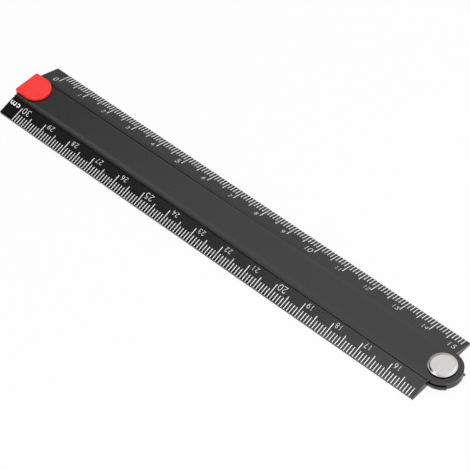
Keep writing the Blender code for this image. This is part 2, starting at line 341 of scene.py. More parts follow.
@dataclass(frozen=True)
class Mottle:
    """Cloudy noise of a surface, and what it changes there.

    Attributes:
        per_mm: Features per millimetre.
        detail: Octaves of finer noise.
        rough: Strength of the finer octaves.
        window: Noise levels where it begins to turn the colour and where it does so in full.
        share: How far it then turns the colour.
        spread: How far it changes the roughness.
    """

    per_mm: float
    detail: float = 2.0
    rough: float = 0.5
    window: tuple[float, float] = (0.5, 0.8)
    share: float = 1.0
    spread: float = 0.0

    def noise(self, nodes: NodeBench, place: bpy.types.NodeSocket) -> Value:
        """The noise from 0 to 1.

        Args:
            nodes: The bench of the material.
            place: Where it is read, in millimetres.

        Returns:
            The noise.
        """
        node = nodes.add(
            "ShaderNodeTexNoise",
            {"noise_dimensions": "3D"},
            {"Vector": place, "Scale": self.per_mm, "Detail": self.detail, "Roughness": self.rough},
        )
        return nodes.value(node)

    def tint(self, noise: Value) -> Value:
        """How far the colour turns at a level of the noise."""
        return noise.ramp(*self.window) * self.share

    def haze(self, noise: Value) -> Value:
        """How much rougher the surface is at a level of the noise."""
        return (noise - 0.5) * self.spread


class Finish:
    """What every finish has in common."""

    def dress(self, nodes: NodeBench) -> None:
        """Adds the finish's nodes.

        Args:
            nodes: The bench of an empty material.
        """
        raise NotImplementedError

    def material(self, name: str) -> bpy.types.Material:
        """Makes the finish.

        Args:
            name: The material's name.

        Returns:
            The material.
        """
        material = bpy.data.materials.new(name)
        material.use_nodes = True
        self.dress(NodeBench(material.node_tree))
        return material


@dataclass(frozen=True)
class AnodisedBlack(Finish):
    """Drawn aluminium, bead-blasted and anodised black.

    Attributes:
        colour: The dyed layer.
        dusty: The same layer where it is a little paler.
        roughness: Middle roughness of the layer.
        ior: How strongly the sealed layer bends light.
        clouds: Hazy patches.
        die_lines: Lines that the drawing die leaves along the leaf.
        die_line_stretch: Their features per millimetre along X, Y and Z.
        die_line_depth: Their depth, in metres.
        grain: Blasted grain.
        grain_depth: Its depth, in metres.
        wear: Patches where a rubbed edge has gone pale.
        wear_polish: How much smoother they are.
        edge_places: Distances from the middle line, in millimetres, where an edge is rubbed smooth.
        edge_reach: Half the width of such an edge, in millimetres.
        edge_polish: How much smoother it is.
    """

    colour: Colour = (0.0021, 0.0021, 0.0022)
    dusty: Colour = (0.0046, 0.0045, 0.0045)
    roughness: float = 0.27
    ior: float = 1.65
    clouds: Mottle = Mottle(0.05, 3.0, window=(0.35, 0.75), share=0.5, spread=0.05)
    die_lines: Mottle = Mottle(1.0, 3.0, 0.7, spread=0.07)
    die_line_stretch: tuple[float, float, float] = (0.012, 3.2, 3.2)
    die_line_depth: float = 0.0003 * MM
    grain: Mottle = Mottle(9.0, 2.0, 0.6, window=(0.55, 0.8), share=0.35)
    grain_depth: float = 0.0004 * MM
    wear: Mottle = Mottle(0.35, 3.0, window=(0.45, 0.75), share=0.5)
    wear_polish: float = 0.06
    edge_places: tuple[float, ...] = (4.5, 11.8)
    edge_reach: float = 0.75
    edge_polish: float = 0.14

    def dress(self, nodes: NodeBench) -> None:
        """Adds clouds, die lines, grain and rubbed edges.

        Args:
            nodes: The bench of an empty material.
        """
        place = nodes.surface_mm()
        _, across, _ = nodes.axes(place)
        clouds = self.clouds.noise(nodes, place)
        die_lines = self.die_lines.noise(nodes, nodes.stretched(place, self.die_line_stretch))
        grain = self.grain.noise(nodes, place)
        rubbed: Value | Number = 0.0
        for edge in self.edge_places:
            near = abs(abs(across) - edge).ramp(self.edge_reach, self.edge_reach / 2)
            rubbed = near + rubbed
        worn = rubbed * self.wear.tint(self.wear.noise(nodes, place))
        pale = self.clouds.tint(clouds) + self.grain.tint(grain) + worn
        roughness = (
            self.roughness
            + self.clouds.haze(clouds)
            + self.die_lines.haze(die_lines)
            - rubbed * self.edge_polish
            - worn * self.wear_polish
        )
        lined = nodes.bump(die_lines, self.die_line_depth)
        nodes.finish(
            {
                "Base Color": nodes.blend(pale, self.colour, self.dusty),
                "Roughness": roughness,
                "Normal": nodes.bump(grain, self.grain_depth, under=lined),
                "IOR": self.ior,
            }
        )


@dataclass(frozen=True)
class WhiteFill(Finish):
    """Matt white enamel of the graduations and numbers.

    Attributes:
        colour: Clean enamel.
        worn: Enamel that is rubbed thin.
        roughness: How matt it is.
        thinning: Patches that are rubbed thin.
        specks: Fine specks in the enamel.
        speck_depth: Their depth, in metres.
    """

    colour: Colour = (0.92, 0.92, 0.91)
    worn: Colour = (0.62, 0.62, 0.61)
    roughness: float = 0.55
    thinning: Mottle = Mottle(0.9, 4.0, 0.65, window=(0.56, 0.85), share=0.6)
    specks: Mottle = Mottle(14.0, 1.0, window=(0.6, 0.8), share=0.2, spread=0.1)
    speck_depth: float = 0.002 * MM

    def dress(self, nodes: NodeBench) -> None:
        """Adds thin patches and specks.

        Args:
            nodes: The bench of an empty material.
        """
        place = nodes.surface_mm()
        specks = self.specks.noise(nodes, place)
        grey = self.thinning.tint(self.thinning.noise(nodes, place)) + self.specks.tint(specks)
        nodes.finish(
            {
                "Base Color": nodes.blend(grey, self.colour, self.worn),
                "Roughness": self.roughness + self.specks.haze(specks),
                "Normal": nodes.bump(specks, self.speck_depth),
            }
        )


@dataclass(frozen=True)
class TurnedSteel(Finish):
    """Bright steel with the fine rings that a lathe leaves.

    Attributes:
        colour: The metal.
        stained: The metal under a thin film of handling.
        roughness: Middle roughness.
        rings: The turning rings, which follow the distance from the axis.
        film: Patches of film.
        pits: Small pits.
        pit_share: How much of the relief the pits have; the rings have the rest.
        relief_depth: Depth of the relief, in metres.
    """

    colour: Colour = (0.67, 0.66, 0.64)
    stained: Colour = (0.59, 0.58, 0.55)
    roughness: float = 0.20
    rings: Mottle = Mottle(3.0, 2.0, 0.7, spread=0.12)
    film: Mottle = Mottle(0.55, 4.0, 0.6, window=(0.45, 0.8), share=0.5, spread=0.14)
    pits: Mottle = Mottle(7.0, window=(0.6, 0.8), share=0.15)
    pit_share: float = 0.2
    relief_depth: float = 0.0003 * MM

    def dress(self, nodes: NodeBench) -> None:
        """Adds turning rings, film and pits.

        Args:
            nodes: The bench of an empty material.
        """
        place = nodes.surface_mm()
        x, y, z = nodes.axes(place)
        radius = (x * x + y * y) ** 0.5
        round_place = nodes.add("ShaderNodeCombineXYZ", None, {"X": radius, "Y": 0.0, "Z": z})
        rings = self.rings.noise(nodes, round_place.outputs["Vector"])
        film = self.film.noise(nodes, place)
        pits = self.pits.noise(nodes, place)
        stain = self.film.tint(film) + self.pits.tint(pits)
        relief = rings * (1 - self.pit_share) + pits * self.pit_share
        nodes.finish(
            {
                "Base Color": nodes.blend(stain, self.colour, self.stained),
                "Metallic": 1.0,
                "Roughness": self.roughness + self.film.haze(film) + self.rings.haze(rings),
                "Normal": nodes.bump(relief, self.relief_depth),
            }
        )


@dataclass(frozen=True)
class BlackNylon(Finish):
    """Punched black nylon sheet.

    Attributes:
        colour: The plastic.
        scuffed: The plastic where it has rubbed.
        roughness: Middle roughness.
        scuffs: Patches that have rubbed.
        grain: The sheet's grain.
        grain_depth: Its depth, in metres.
    """

    colour: Colour = (0.008, 0.008, 0.008)
    scuffed: Colour = (0.020, 0.020, 0.019)
    roughness: float = 0.52
    scuffs: Mottle = Mottle(1.4, 4.0, 0.6, spread=0.15)
    grain: Mottle = Mottle(11.0)
    grain_depth: float = 0.0015 * MM

    def dress(self, nodes: NodeBench) -> None:
        """Adds scuffs and grain.

        Args:
            nodes: The bench of an empty material.
        """
        place = nodes.surface_mm()
        scuffs = self.scuffs.noise(nodes, place)
        nodes.finish(
            {
                "Base Color": nodes.blend(self.scuffs.tint(scuffs), self.colour, self.scuffed),
                "Roughness": self.roughness + self.scuffs.haze(scuffs),
                "Normal": nodes.bump(self.grain.noise(nodes, place), self.grain_depth),
            }
        )


@dataclass(frozen=True)
class MouldedRed(Finish):
    """Injection-moulded red plastic with a finely spark-eroded skin.

    Attributes:
        colour: The plastic.
        deep: The plastic where the pigment lies thicker.
        roughness: Middle roughness.
        ior: How strongly the plastic bends light.
        flow: Marks of the plastic's flow.
        skin: The skin's texture.
        skin_depth: Its depth, in metres.
    """

    colour: Colour = (0.98, 0.034, 0.029)
    deep: Colour = (0.93, 0.024, 0.022)
    roughness: float = 0.36
    ior: float = 1.56
    flow: Mottle = Mottle(0.30, 3.0, window=(0.4, 0.8), share=0.7, spread=0.06)
    skin: Mottle = Mottle(8.0, 3.0, 0.6, window=(0.6, 0.85), share=0.2, spread=0.1)
    skin_depth: float = 0.0018 * MM

    def dress(self, nodes: NodeBench) -> None:
        """Adds flow marks and the skin.

        Args:
            nodes: The bench of an empty material.
        """
        place = nodes.surface_mm()
        flow = self.flow.noise(nodes, place)
        skin = self.skin.noise(nodes, place)
        depth = self.flow.tint(flow) + self.skin.tint(skin)
        nodes.finish(
            {
                "Base Color": nodes.blend(depth, self.colour, self.deep),
                "Roughness": self.roughness + self.flow.haze(flow) + self.skin.haze(skin),
                "Normal": nodes.bump(skin, self.skin_depth),
                "IOR": self.ior,
            }
        )


@dataclass(frozen=True)
class PaleFloor(Finish):
    """White sweep that shows as plain white and still takes a soft shadow.

    Attributes:
        colour: The painted surface.
        white_share: How much of what the camera sees is plain white.
    """

    colour: Colour = (0.86, 0.86, 0.86)
    white_share: float = 0.90

    def dress(self, nodes: NodeBench) -> None:
        """Mixes paint with plain white for what the camera, a mirror or a clear material sees.

        Args:
            nodes: The bench of an empty material.
        """
        path = nodes.add("ShaderNodeLightPath")
        camera = nodes.value(path, "Is Camera Ray")
        glossy = nodes.value(path, "Is Glossy Ray")
        through = nodes.value(path, "Is Transmission Ray")
        share = (camera + glossy + through).smaller(1.0) * self.white_share
        painted = nodes.add("ShaderNodeBsdfDiffuse", None, {"Color": self.colour})
        white = nodes.add("ShaderNodeEmission", None, {"Color": (1.0, 1.0, 1.0), "Strength": 1.0})
        mixed = nodes.add(
            "ShaderNodeMixShader",
            None,
            {0: share, 1: painted.outputs["BSDF"], 2: white.outputs["Emission"]},
        )
        nodes.add("ShaderNodeOutputMaterial", None, {"Surface": mixed.outputs["Shader"]})


def filleted(corners: Sequence[Corner], step: float = math.radians(3.0)) -> list[Point2]:
    """An outline with an arc at each corner that has a radius.

    Args:
        corners: Corners (u, v, radius) in order.
        step: The most that one chord turns.

    Returns:
        The outline's points.
    """
    points: list[Point2] = []
    count = len(corners)
    for index, (u, v, radius) in enumerate(corners):
        corner = Vector((u, v))
        if radius == 0:
            points.append((u, v))
            continue
        before = (Vector(corners[index - 1][:2]) - corner).normalized()
        after = (Vector(corners[(index + 1) % count][:2]) - corner).normalized()
        half_angle = before.angle(after) / 2
        centre = corner + (before + after).normalized() * radius / math.sin(half_angle)
        first = corner + before * radius / math.tan(half_angle) - centre
        last = corner + after * radius / math.tan(half_angle) - centre
        turn = math.atan2(first.x * last.y - first.y * last.x, first.dot(last))
        steps = max(3, math.ceil(abs(turn) / step))
        for number in range(steps + 1):
            angle = turn * number / steps
            cosine, sine = math.cos(angle), math.sin(angle)
            spoke = Vector((first.x * cosine - first.y * sine, first.x * sine + first.y * cosine))
            points.append(tuple(centre + spoke))
    return points


def mesh_from(name: str, shape: bmesh.types.BMesh) -> bpy.types.Mesh:
    """Closes up a bmesh and turns it into a mesh.

    Args:
        name: The mesh's name.
        shape: The bmesh, which is freed.

    Returns:
        The mesh.
    """
    bmesh.ops.remove_doubles(shape, verts=shape.verts, dist=WELD)
    bmesh.ops.recalc_face_normals(shape, faces=shape.faces)
    mesh = bpy.data.meshes.new(name)
    shape.to_mesh(mesh)
    shape.free()
    return mesh


def swept(name: str, outline: Iterable[Sequence[float]], sweep: Sequence[float]) -> bpy.types.Mesh:
    """The closed solid that an outline makes when it is swept.

    Args:
        name: The mesh's name.
        outline: Its points in space.
        sweep: How far it goes.

    Returns:
        The mesh.
    """
    shape = bmesh.new()
    add_swept(shape, outline, sweep)
    return mesh_from(name, shape)


def add_swept(
    shape: bmesh.types.BMesh, outline: Iterable[Sequence[float]], sweep: Sequence[float]
) -> None:
    """Adds a swept outline to a bmesh.

    Args:
        shape: The bmesh that takes it.
        outline: Its points in space.
        sweep: How far it goes.
    """
    face = shape.faces.new([shape.verts.new(point) for point in outline])
    far = bmesh.ops.extrude_face_region(shape, geom=[face])
    moved = [item for item in far["geom"] if isinstance(item, bmesh.types.BMVert)]
    bmesh.ops.translate(shape, verts=moved, vec=sweep)


def upright(name: str, outline: Sequence[Point2], low: float, high: float) -> bpy.types.Mesh:
    """A solid with an outline in X and Y, standing from low to high."""
    return swept(name, [(u, v, low) for u, v in outline], (0, 0, high - low))


def turned(name: str, profile: Sequence[Point2], steps: int = 128) -> bpy.types.Mesh:
    """A solid of revolution about Z.

    Args:
        name: The mesh's name.
        profile: Points (radius, height) that close on themselves or end on the axis.
        steps: How many flats the turning has.

    Returns:
        The mesh.
    """
    shape = bmesh.new()
    verts = [shape.verts.new((radius, 0, height)) for radius, height in profile]
    pairs = list(zip(verts, verts[1:]))
    if profile[0][0] > 0 and profile[-1][0] > 0:
        pairs.append((verts[-1], verts[0]))
    edges = [shape.edges.new(pair) for pair in pairs]
    bmesh.ops.spin(
        shape,
        geom=verts + edges,
        cent=(0, 0, 0),
        axis=(0, 0, 1),
        angle=2 * math.pi,
        steps=steps,
        use_merge=True,
    )
    return mesh_from(name, shape)


def disc(radius: float, low: float, high: float) -> list[Point2]:
    """Turned profile of a plain disc."""
    return [(0, high), (radius, high), (radius, low), (0, low)]


def stepped_disc(wide: float, narrow: float, low: float, step: float, high: float) -> list[Point2]:
    """Turned profile of a disc that is wide above a step and narrow below it.

    Args:
        wide: Its radius above the step.
        narrow: Its radius below the step.
        low: Height of its underside.
        step: Height of the step.
        high: Height of its top.

    Returns:
        The profile.
    """
    return [(0, high), (wide, high), (wide, step), (narrow, step), (narrow, low), (0, low)]


def place_on_axis(name: str, mesh: bpy.types.Mesh) -> bpy.types.Object:
    """Puts a mesh that is drawn about the rivet's axis where that axis is.

    Args:
        name: The piece's name.
        mesh: Its mesh.

    Returns:
        The piece.
    """
    piece = bpy.data.objects.new(name, mesh)
    bpy.context.scene.collection.objects.link(piece)
    piece.location = frame["joints"][0]["pos_m"]
    return piece


class Workpiece:
    """A mesh that is cut, joined and softened by modifiers, then baked."""

    def __init__(self, name: str, mesh: bpy.types.Mesh) -> None:
        """Starts from a blank.

        Args:
            name: The piece's name.
            mesh: The blank.
        """
        self.piece = place_on_axis(name, mesh)
        self.tools: list[bpy.types.Object] = []

    def work(self, cut: Cut, mesh: bpy.types.Mesh, shift: float = 0.0) -> None:
        """Adds one Boolean.

        Args:
            cut: What the helper solid does.
            mesh: The helper solid.
            shift: How far along X from the rivet's axis it stands.
        """
        tool = place_on_axis(mesh.name, mesh)
        tool.location.x += shift
        tool.hide_render = True
        self.tools.append(tool)
        modifier = self.piece.modifiers.new(mesh.name, "BOOLEAN")
        modifier.operation = cut.value
        modifier.object = tool
        modifier.solver = "EXACT"

    def soften(self, width: float, segments: int = 3, sharper_than: float = 35.0) -> None:
        """Rounds every edge that is sharp at this point.

        Args:
            width: How far the rounding reaches from the edge.
            segments: Facets across it.
            sharper_than: Smallest turn that counts as an edge, in degrees.
        """
        modifier = self.piece.modifiers.new("softened_edges", "BEVEL")
        modifier.width = width
        modifier.segments = segments
        modifier.limit_method = "ANGLE"
        modifier.angle_limit = math.radians(sharper_than)
        modifier.use_clamp_overlap = False
        modifier.miter_outer = "MITER_ARC"

    def bake(self) -> bpy.types.Object:
        """Turns the modifiers into a mesh and clears the helper solids away.

        Returns:
            The finished piece.
        """
        graph = bpy.context.evaluated_depsgraph_get()
        mesh = bpy.data.meshes.new_from_object(self.piece.evaluated_get(graph))
        self.piece.modifiers.clear()
        self.piece.data = mesh
        for tool in self.tools:
            bpy.data.objects.remove(tool)
        return smoothed(self.piece)


def smoothed(piece: bpy.types.Object, sharper_than: float = 32.0) -> bpy.types.Object:
    """Shades a piece smooth across its small facets and flat across its broad faces.

    Args:
        piece: The piece.
        sharper_than: Smallest turn that stays a hard edge, in degrees.

    Returns:
        The same piece.
    """
    piece.data.shade_smooth()
    piece.data.set_sharp_from_angle(angle=math.radians(sharper_than))
    weighted = piece.modifiers.new("even_faces", "WEIGHTED_NORMAL")
    weighted.keep_sharp = True
    weighted.weight = 80
    return piece


def hand_over(
    piece: bpy.types.Object,
    finish: bpy.types.Material,
    arm: Arm,
    stands_for: str | None = None,
) -> None:
    """Dresses a piece and lets it ride on its arm.

    Args:
        piece: The piece, in place.
        finish: Its material.
        arm: The arm that carries it.
        stands_for: The solid that it replaces.
    """
    piece.data.materials.clear()
    piece.data.materials.append(finish)
    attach(piece, arm.value)
    if stands_for:
        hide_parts(stands_for)
    LOG.info("%s: %d faces on %s", piece.name, len(piece.data.polygons), arm.value)


@dataclass(frozen=True)
class Stack:
    """The folded pair's section, shared by every piece.

    Attributes:
        band_half: Half the flat band's width, on the flange's side.
        band_half_plate: The same on the plate's side, to the middle of its wide rounding.
        plate_half: Half a plate's width.
        lug_radius: Radius of a plate's round end.
        flange_inner: Where the opposite flange begins.
        knee: Where the shoulder turns into the steeper scale face.
        half_width: Half the ruler's width.
        edge_height: Height of the thin outer edge.
        plate_lift: Height of the lower plate's underside.
        lower_top: Height of the lower plate's top.
        upper_bottom: Height of the upper plate's underside.
        thickness: Height of the band.
        scale_length: Length of a scale.
        zero_mark: Where the scales begin, along X.
        free_end: Where the leaves end, along X.
        shoulder_slope: Fall of the shoulder beside the band, as a ratio.
        flange_crown: Rounding between the band and the shoulder, on the flange's side.
        plate_crown: The same on the plate's side.
        knee_round: Rounding between the shoulder and the scale face.
        plate_rim: Rounding of the plate's upper rim.
    """

    band_half: float = 4.5 * MM
    band_half_plate: float = 4.75 * MM
    plate_half: float = 5.89 * MM
    lug_radius: float = 5.62 * MM
    flange_inner: float = 6.02 * MM
    knee: float = 6.03 * MM
    half_width: float = 11.8 * MM
    edge_height: float = 0.75 * MM
    plate_lift: float = 0.3 * MM
    lower_top: float = 1.5 * MM
    upper_bottom: float = 1.65 * MM
    thickness: float = 2.86 * MM
    scale_length: float = 150.0 * MM
    zero_mark: float = -150.5 * MM
    free_end: float = -155.7 * MM
    shoulder_slope: float = 0.218
    flange_crown: float = 3.0 * MM
    plate_crown: float = 8.5 * MM
    knee_round: float = 8.0 * MM
    plate_rim: float = 0.06 * MM

    @property
    def knee_height(self) -> float:
        """Height of the knee."""
        return self.thickness - (self.knee - self.band_half) * self.shoulder_slope

    @property
    def plate_edge_height(self) -> float:
        """Height of the plate's upper rim."""
        return self.thickness - (self.plate_half - self.band_half_plate) * self.shoulder_slope

    @property
    def slope(self) -> float:
        """Fall of the scale faces, as a ratio."""
        return (self.knee_height - self.edge_height) / (self.half_width - self.knee)

    def bevel_height(self, across: float) -> float:
        """Height of the shoulder or of the scale face.

        Args:
            across: Distance from the middle line.

        Returns:
            The height there.
        """
        if abs(across) < self.knee:
            return self.thickness - (abs(across) - self.band_half) * self.shoulder_slope
        return self.edge_height + (self.half_width - abs(across)) * self.slope


STACK = Stack()


@dataclass
class Graduations:
    """The engraved lines of one leaf, and the white fill in them.

    Attributes:
        side: The leaf's side.
        pitch: Distance between lines.
        width: Width of a line.
        depth: Depth of a line.
        run_out: How far the tool that cuts a line runs past the outer edge.
        fill_drop: How far the white fill lies under the face.
        short: Reach of a millimetre line from the outer edge.
        middle: Reach of a five millimetre line.
        long: Reach of a centimetre line.
    """

    side: Side
    pitch: float = 1.0 * MM
    width: float = 0.26 * MM
    depth: float = 0.1 * MM
    run_out: float = 0.3 * MM
    fill_drop: float = 0.015 * MM
    short: float = 2.4 * MM
    middle: float = 3.4 * MM
    long: float = 4.35 * MM

    def reach(self, index: int) -> float:
        """How far a line reaches in from the outer edge.

        Args:
            index: Its number, from the zero mark on.

        Returns:
            The reach.
        """
        if index % 10 == 0:
            return self.long
        return self.middle if index % 5 == 0 else self.short

    def _lines(self, name: str, bottom: float, top: float, outer: float) -> bpy.types.Mesh:
        """One slanted slab for every line.

        Args:
            name: The mesh's name.
            bottom: Its underside, above the bevelled face.
            top: Its top, above the bevelled face.
            outer: Its outer end, from the middle line.

        Returns:
            The mesh.
        """
        shape = bmesh.new()
        for index in range(round(STACK.scale_length / self.pitch)):
            inner = STACK.half_width - self.reach(index)
            start = STACK.zero_mark + index * self.pitch - self.width / 2
            corners = ((outer, bottom), (inner, bottom), (inner, top), (outer, top))
            outline = [
                (start, self.side.value * across, STACK.bevel_height(across) + rise)
                for across, rise in corners
            ]
            add_swept(shape, outline, (self.width, 0, 0))
        return mesh_from(name, shape)

    def grooves(self) -> bpy.types.Mesh:
        """Helper solids that cut the lines, which run out through the edge."""
        outer = STACK.half_width + self.run_out
        return self._lines("grooves", -self.depth, self.depth, outer)

    def build(self, fill: bpy.types.Material) -> None:
        """Lays the white fill in the lines.

        Args:
            fill: Its material.
        """
        name = f"{self.side.label}_scale_lines"
        outer = STACK.half_width - self.fill_drop
        mesh = self._lines(name, -self.depth, -self.fill_drop, outer)
        hand_over(place_on_axis(name, mesh), fill, self.side.arm)


Stroke = list[Point2]


def arc(centre: Point2, radii: Point2, start: float, end: float, steps: int = 20) -> Stroke:
    """Points along part of an ellipse.

    Args:
        centre: Its middle.
        radii: Its two radii.
        start: First angle in degrees.
        end: Last angle in degrees.
        steps: Number of chords.

    Returns:
        The points.
    """
    angles = [math.radians(start + (end - start) * number / steps) for number in range(steps + 1)]
    return [
        (centre[0] + radii[0] * math.cos(angle), centre[1] + radii[1] * math.sin(angle))
        for angle in angles
    ]


@dataclass(frozen=True)
class Glyph:
    """A letter or number as the path of a round pen.

    Attributes:
        width: Its width as a share of its height.
        strokes: Paths in a box that is 1 wide and 1 high.
    """

    width: float
    strokes: tuple[Stroke, ...]


SIX = (arc((0.92, 0.31), (0.92, 0.70), 180, 100), arc((0.5, 0.31), (0.5, 0.31), 0, 360, 32))
GLYPHS: dict[str, Glyph] = {
    "0": Glyph(0.63, (arc((0.5, 0.5), (0.5, 0.5), 0, 360, 40),)),
    "1": Glyph(0.20, ([(0.0, 0.90), (0.9, 1.0), (0.9, 0.0)],)),
    "2": Glyph(0.60, (arc((0.48, 0.71), (0.46, 0.29), 160, -35) + [(0.0, 0.0), (1.0, 0.0)],)),
    "3": Glyph(
        0.58,
        (
            arc((0.42, 0.76), (0.48, 0.24), 150, -90),
            arc((0.42, 0.26), (0.56, 0.26), 90, -145),
        ),
    ),
    "4": Glyph(0.64, ([(0.74, 0.0), (0.74, 1.0), (0.0, 0.30)], [(0.0, 0.30), (1.0, 0.30)])),
    "5": Glyph(
        0.58,
        ([(0.92, 1.0), (0.20, 1.0), (0.13, 0.54)] + arc((0.44, 0.32), (0.54, 0.32), 115, -145),),
    ),
    "6": Glyph(0.60, SIX),
    "7": Glyph(0.58, ([(0.0, 1.0), (1.0, 1.0), (0.36, 0.0)],)),
    "8": Glyph(
        0.60,
        (
            arc((0.5, 0.77), (0.40, 0.23), 0, 360, 32),
            arc((0.5, 0.27), (0.50, 0.27), 0, 360, 32),
        ),
    ),
    "9": Glyph(0.60, tuple([(1 - u, 1 - v) for u, v in stroke] for stroke in SIX)),
    "c": Glyph(0.92, (arc((0.56, 0.5), (0.56, 0.5), 48, 312, 28),)),
    "m": Glyph(
        1.68,
        (
            [(0.0, 0.0), (0.0, 1.0)],
            arc((0.25, 0.60), (0.25, 0.40), 180, 0) + [(0.5, 0.0)],
            arc((0.75, 0.60), (0.25, 0.40), 180, 0) + [(1.0, 0.0)],
        ),
    ),
}


@dataclass(frozen=True)
class Setting:
    """How a number or the unit is set beside its line.

    Attributes:
        middle: How far its middle stands before the line.
        base: Its foot's distance from the middle line.
        height: Its height.
        pitch: Distance between the middles of its letters.
        pen: Width of its strokes.
    """

    middle: float
    base: float
    height: float = 1.46 * MM
    pitch: float = 1.16 * MM
    pen: float = 0.118 * MM


@dataclass
class Pen:
    """Draws strokes as flat ribbons of ink on a bevelled face.

    Attributes:
        side: The face's side.
        lift: Height of the ink over the face.
        layer: Extra height of each further stroke, so that crossings do not coincide.
        sharpest_mitre: Longest corner, as a multiple of half the pen's width.
        end_steps: Chords round the end of a stroke.
        shape: What is drawn so far.
    """

    side: Side
    lift: float = 0.006 * MM
    layer: float = 0.0015 * MM
    sharpest_mitre: float = 1.5
    end_steps: int = 6
    shape: bmesh.types.BMesh = field(default_factory=bmesh.new)

    def _to_face(self, along: float, across: float, lift: float) -> Vector:
        """A point of the lettering, put on the leaf's bevelled face.

        Args:
            along: Reading direction, from the rivet's axis.
            across: Distance from the middle line.
            lift: Height over the face.

        Returns:
            The point in space.
        """
        way = self.side.value
        normal = Vector((0, way * STACK.slope, 1)).normalized()
        point = Vector((way * along, way * across, STACK.bevel_height(across)))
        return point + normal * lift

    def _edges(self, path: Stroke, width: float, closed: bool) -> list[tuple[Point2, Point2]]:
        """Left and right edge of a ribbon at each point of its path.

        Args:
            path: The pen's path.
            width: The pen's width.
            closed: Whether the path joins up.

        Returns:
            Pairs of edge points.
        """
        pairs: list[tuple[Point2, Point2]] = []
        count = len(path)
        for index, point in enumerate(path):
            here = Vector(point)
            previous = Vector(path[index - 1]) if closed or index else None
            following = Vector(path[(index + 1) % count]) if closed or index < count - 1 else None
            into = (here - previous).normalized() if previous is not None else None
            out = (following - here).normalized() if following is not None else None
            into, out = into or out, out or into
            heading = (into + out).normalized()
            reach = 1 / max(heading.dot(out), 1 / self.sharpest_mitre)
            across = Vector((-heading.y, heading.x)) * (width / 2 * reach)
            pairs.append((tuple(here + across), tuple(here - across)))
        return pairs

    def _round_end(self, centre: Point2, start: Point2, lift: float) -> None:
        """Half a disc of ink at the end of a stroke.

        Args:
            centre: The stroke's last point.
            start: The edge point where the half disc begins.
            lift: Height over the face.
        """
        spoke = Vector(start) - Vector(centre)
        turns = [math.pi * number / self.end_steps for number in range(self.end_steps + 1)]
        points = [Vector(centre) + spoke @ Matrix.Rotation(turn, 2) for turn in turns]
        self.shape.faces.new([self.shape.verts.new(self._to_face(*point, lift)) for point in points])

    def stroke(self, path: Stroke, width: float, lift: float) -> None:
        """Lays one ribbon.

        Args:
            path: The pen's path, in reading direction and distance from the middle line.
            width: The pen's width.
            lift: Height over the face.
        """
        closed = math.dist(path[0], path[-1]) < WELD
        path = path[:-1] if closed else path
        pairs = self._edges(path, width, closed)
        verts = [
            tuple(self.shape.verts.new(self._to_face(*point, lift)) for point in pair)
            for pair in pairs
        ]
        following = verts[1:] + verts[:1] if closed else verts[1:]
        for (left, right), (next_left, next_right) in zip(verts, following):
            self.shape.faces.new([left, right, next_right, next_left])
        if not closed:
            self._round_end(path[0], pairs[0][1], lift)
            self._round_end(path[-1], pairs[-1][0], lift)

    def write(self, text: str, line: float, setting: Setting) -> None:
        """Writes a short text.

        Args:
            text: Its letters or numbers.
            line: Its line's place, in reading direction.
            setting: How it is set.
        """
        width, height = setting.pen, setting.height
        first = line - setting.middle - (len(text) - 1) / 2 * setting.pitch
        for place, letter in enumerate(text):
            glyph = GLYPHS[letter]
            wide = glyph.width * height
            start = first + place * setting.pitch - wide / 2
            for number, stroke in enumerate(glyph.strokes):
                path = [
                    (
                        start + width / 2 + u * (wide - width),
                        setting.base + width / 2 + v * (height - width),
                    )
                    for u, v in stroke
                ]
                self.stroke(path, width, self.lift + number * self.layer)

    def lift_off(self, name: str) -> bpy.types.Mesh:
        """Ends the drawing.

        Args:
            name: The mesh's name.

        Returns:
            The mesh, facing up.
        """
        mesh = bpy.data.meshes.new(name)
        bmesh.ops.recalc_face_normals(self.shape, faces=self.shape.faces)
        downward = [face for face in self.shape.faces if face.normal.z < 0]
        bmesh.ops.reverse_faces(self.shape, faces=downward)
        self.shape.to_mesh(mesh)
        self.shape.free()
        return mesh


@dataclass
class Numbers:
    """The scale numbers of one leaf, each just before its centimetre line.

    Attributes:
        side: The leaf's side.
        labels: The numbers, from the free end on.
        small: How most numbers are set.
        tall: How every fifth number is set.
        others: The numbers that are set differently.
        units: Letters beside the first line, and how they are set.
    """

    side: Side
    labels: Sequence[int]
    small: Setting
    tall: Setting
    others: dict[int, Setting] = field(default_factory=dict)
    units: dict[str, Setting] = field(default_factory=dict)

    def setting(self, label: int) -> Setting:
        """How a number is set."""
        return self.others.get(label, self.small if label % 5 else self.tall)

    def build(self, ink: bpy.types.Material) -> None:
        """Writes the numbers.

        Args:
            ink: Their material.
        """
        name = f"{self.side.label}_scale_numbers"
        drawing = Pen(self.side)
        first_line = self.side.value * STACK.zero_mark
        for place, label in enumerate(self.labels):
            line = first_line + self.side.value * place * CENTIMETRE
            drawing.write(str(label), line, self.setting(label))
        for unit, setting in self.units.items():
            drawing.write(unit, first_line, setting)
        hand_over(place_on_axis(name, drawing.lift_off(name)), ink, self.side.arm)


